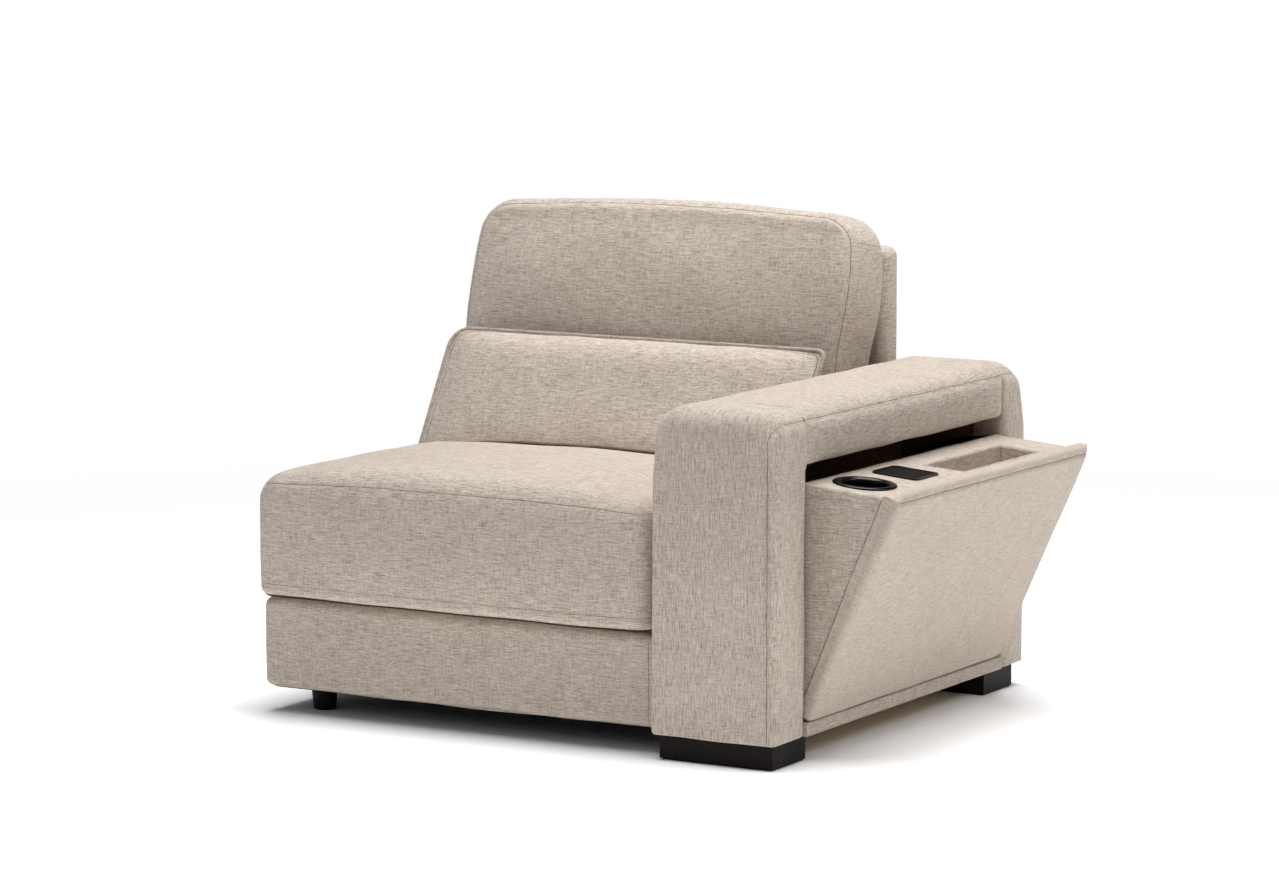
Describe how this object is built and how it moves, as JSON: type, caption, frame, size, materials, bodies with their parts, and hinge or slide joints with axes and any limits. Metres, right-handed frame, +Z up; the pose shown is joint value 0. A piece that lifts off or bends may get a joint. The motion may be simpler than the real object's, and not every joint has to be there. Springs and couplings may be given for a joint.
{
  "type": "sofa module with tilt-out console",
  "caption": "Right-arm sofa module with deep seat, back and lumbar cushions, and an arm whose side tilts out as a console with cup holder, charger and pocket.",
  "frame": {"origin": "centre of the footprint's box on the floor, with the console open", "axes": "+X from the joining side to the arm and the open console, +Y from the seat's front to its back, +Z up"},
  "size_m": [1.2479, 0.98, 0.8857],
  "materials": {
    "upholstery": "woven cloth with slubs",
    "brown_lining": "dark lining cloth",
    "frame_timber": "raw sawn timber and plywood",
    "espresso_wood": "dark stained, satin",
    "black_plastic": "moulded, matt",
    "gloss_black": "moulded, glossy",
    "zinc_steel": "zinc plated",
    "black_steel": "black powder coat",
    "spring_felt": "needled felt",
    "black_webbing": "woven webbing and cambric"
  },
  "bodies": {
    "sofa": {"base_front_panel": "upholstery", "base_side_panel": "upholstery", "seat_cushion": "upholstery", "back_shell": "upholstery", "back_cushion": "upholstery", "lumbar_cushion": "upholstery", "arm_front_cover": "upholstery", "arm_rear_cover": "upholstery", "arm_top_pad": "upholstery", "arm_inner_cover": "upholstery", "arm_rail_cover": "upholstery", "cavity_lining": "brown_lining", "seat_front_rail": "frame_timber", "seat_rear_rail": "frame_timber", "seat_left_rail": "frame_timber", "seat_right_rail": "frame_timber", "back_frame": "frame_timber", "arm_front_post": "frame_timber", "arm_rear_post": "frame_timber", "arm_inner_board": "frame_timber", "arm_top_beam": "frame_timber", "arm_floor_board": "frame_timber", "arm_front_foot": "espresso_wood", "arm_rear_foot": "espresso_wood", "round_front_foot": "black_plastic", "round_rear_foot": "black_plastic", "power_inlet": "black_plastic", "seat_springs": "zinc_steel", "spring_clips": "zinc_steel", "foot_studs": "zinc_steel", "arm_bolts": "zinc_steel", "back_bolts": "zinc_steel", "joining_brackets": "zinc_steel", "hinge_fixed_leaf": "zinc_steel", "hinge_pin": "zinc_steel", "front_stay_track": "black_steel", "rear_stay_track": "black_steel", "seat_deck": "spring_felt", "back_webbing": "black_webbing", "dust_cover": "black_webbing"},
    "console": {"console_outer_board": "frame_timber", "console_inner_board": "frame_timber", "console_front_cheek": "frame_timber", "console_rear_cheek": "frame_timber", "console_tray_board": "frame_timber", "console_panel": "upholstery", "console_front_cover": "upholstery", "console_rear_cover": "upholstery", "console_tray_cover": "upholstery", "console_inner_cover": "brown_lining", "cup_holder": "gloss_black", "charger_bezel": "gloss_black", "charger_pad": "black_plastic", "pocket_liner": "upholstery", "hinge_moving_leaf": "zinc_steel", "front_stay_pin": "zinc_steel", "rear_stay_pin": "zinc_steel"}
  },
  "joints": [
    {"name": "console_tilt", "type": "hinge", "parent": "sofa", "child": "console", "pos_m": [0.43463, 0, 0.066], "axis": [0, 1, 0], "range_deg": [-24, 0]}
  ]
}
